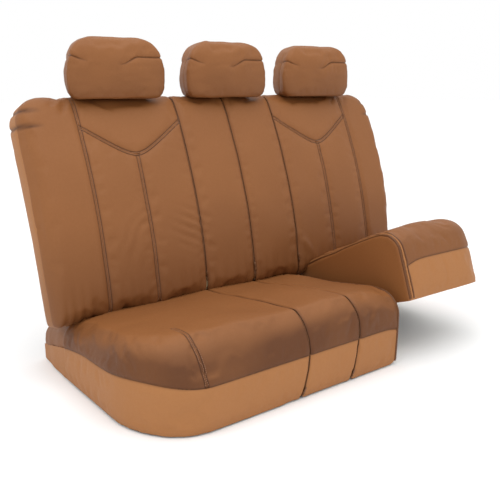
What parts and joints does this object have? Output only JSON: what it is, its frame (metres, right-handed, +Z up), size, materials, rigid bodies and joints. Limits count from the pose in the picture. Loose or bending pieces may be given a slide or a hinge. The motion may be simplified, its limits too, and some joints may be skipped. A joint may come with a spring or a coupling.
{
  "type": "rear bench seat cover set",
  "caption": "Saddle-brown leatherette cover set for a split rear bench: backrest, 60/40 cushion and headrest covers, fitted on a plain bench form with the smaller cushion raised.",
  "frame": {"origin": "midway between the two floor bolts, on the floor, below the line where the backrest meets the cushions", "axes": "+X along the bench to the viewer's right, -Y to the front, +Z up"},
  "size_m": [1.304, 0.7203, 0.9301],
  "materials": {
    "brown_leatherette": "matte",
    "tan_leatherette": "matte",
    "piping": "satin",
    "zip_tape": "matte",
    "zip_pull_metal": "satin",
    "foam": "matte",
    "post_steel": "gloss",
    "guide_plastic": "matte",
    "elastic_webbing": "matte",
    "lining_cloth": "matte",
    "frame_steel": "satin",
    "hinge_steel": "satin"
  },
  "bodies": {
    "bench": {"back_board": "frame_steel", "back_centre_left": "brown_leatherette", "back_centre_right": "brown_leatherette", "back_foam": "foam", "back_left_bolster": "brown_leatherette", "back_left_gusset": "tan_leatherette", "back_left_insert_inner": "brown_leatherette", "back_left_insert_outer": "brown_leatherette", "back_left_yoke": "brown_leatherette", "back_rear_panel": "lining_cloth", "back_right_bolster": "brown_leatherette", "back_right_gusset": "tan_leatherette", "back_right_insert_inner": "brown_leatherette", "back_right_insert_outer": "brown_leatherette", "back_right_yoke": "brown_leatherette", "back_zips": "zip_tape", "bench_brackets": "frame_steel", "floor_plate": "frame_steel", "hinge_tube": "hinge_steel", "post_guides": "guide_plastic", "rear_beam": "frame_steel", "right_foot": "frame_steel", "skirt_tails": "tan_leatherette"},
    "seat_60": {"seat_60_end_wall": "brown_leatherette", "seat_60_foam": "foam", "seat_60_hinge_arms": "frame_steel", "seat_60_pan": "frame_steel", "seat_60_piping": "piping", "seat_60_skirt_front": "tan_leatherette", "seat_60_skirt_left": "tan_leatherette", "seat_60_straps": "elastic_webbing", "seat_60_top_centre": "brown_leatherette", "seat_60_top_left": "brown_leatherette", "seat_60_top_right": "brown_leatherette", "seat_60_zips": "zip_tape"},
    "seat_40": {"seat_40_foam": "foam", "seat_40_hinge_arms": "frame_steel", "seat_40_pan": "frame_steel", "seat_40_piping": "piping", "seat_40_side_wall": "brown_leatherette", "seat_40_skirt": "tan_leatherette", "seat_40_straps": "elastic_webbing", "seat_40_top": "brown_leatherette"},
    "headrest_left": {"headrest_left_foam": "foam", "headrest_left_front_cover": "brown_leatherette", "headrest_left_hood_cover": "brown_leatherette", "headrest_left_posts": "post_steel"},
    "headrest_centre": {"headrest_centre_foam": "foam", "headrest_centre_front_cover": "brown_leatherette", "headrest_centre_hood_cover": "brown_leatherette", "headrest_centre_posts": "post_steel"},
    "headrest_right": {"headrest_right_foam": "foam", "headrest_right_front_cover": "brown_leatherette", "headrest_right_hood_cover": "brown_leatherette", "headrest_right_posts": "post_steel"},
    "back_left_slider": {"back_left_slider": "zip_pull_metal"},
    "back_centre_slider": {"back_centre_slider": "zip_pull_metal"},
    "back_right_slider": {"back_right_slider": "zip_pull_metal"},
    "seat_60_left_slider": {"seat_60_left_slider": "zip_pull_metal"},
    "seat_60_right_slider": {"seat_60_right_slider": "zip_pull_metal"}
  },
  "joints": [
    {"name": "seat_60_hinge", "type": "hinge", "parent": "bench", "child": "seat_60", "pos_m": [0, 0.082, 0.125], "axis": [-1, 0, 0], "range_deg": [0, 20.5]},
    {"name": "seat_40_hinge", "type": "hinge", "parent": "bench", "child": "seat_40", "pos_m": [0, 0.082, 0.125], "axis": [-1, 0, 0], "range_deg": [-20.5, 0]},
    {"name": "headrest_left_height", "type": "slide", "parent": "bench", "child": "headrest_left", "axis": [0, 0.314, 0.9494], "range_m": [0, 0.07]},
    {"name": "headrest_centre_height", "type": "slide", "parent": "bench", "child": "headrest_centre", "axis": [0, 0.314, 0.9494], "range_m": [0, 0.07]},
    {"name": "headrest_right_height", "type": "slide", "parent": "bench", "child": "headrest_right", "axis": [0, 0.314, 0.9494], "range_m": [0, 0.07]},
    {"name": "back_left_zip_run", "type": "hinge", "parent": "bench", "child": "back_left_slider", "pos_m": [0, 1.34947, 0.066], "axis": [-1, 0, 0], "range_deg": [0, 20]},
    {"name": "back_centre_zip_run", "type": "hinge", "parent": "bench", "child": "back_centre_slider", "pos_m": [0, 1.34947, 0.066], "axis": [-1, 0, 0], "range_deg": [0, 20]},
    {"name": "back_right_zip_run", "type": "hinge", "parent": "bench", "child": "back_right_slider", "pos_m": [0, 1.34947, 0.066], "axis": [-1, 0, 0], "range_deg": [0, 20]},
    {"name": "seat_60_left_zip_run", "type": "slide", "parent": "seat_60", "child": "seat_60_left_slider", "axis": [0.2152, 0, 0.9766], "range_m": [0, 0.108]},
    {"name": "seat_60_right_zip_run", "type": "slide", "parent": "seat_60", "child": "seat_60_right_slider", "axis": [0.2152, 0, 0.9766], "range_m": [0, 0.108]}
  ]
}
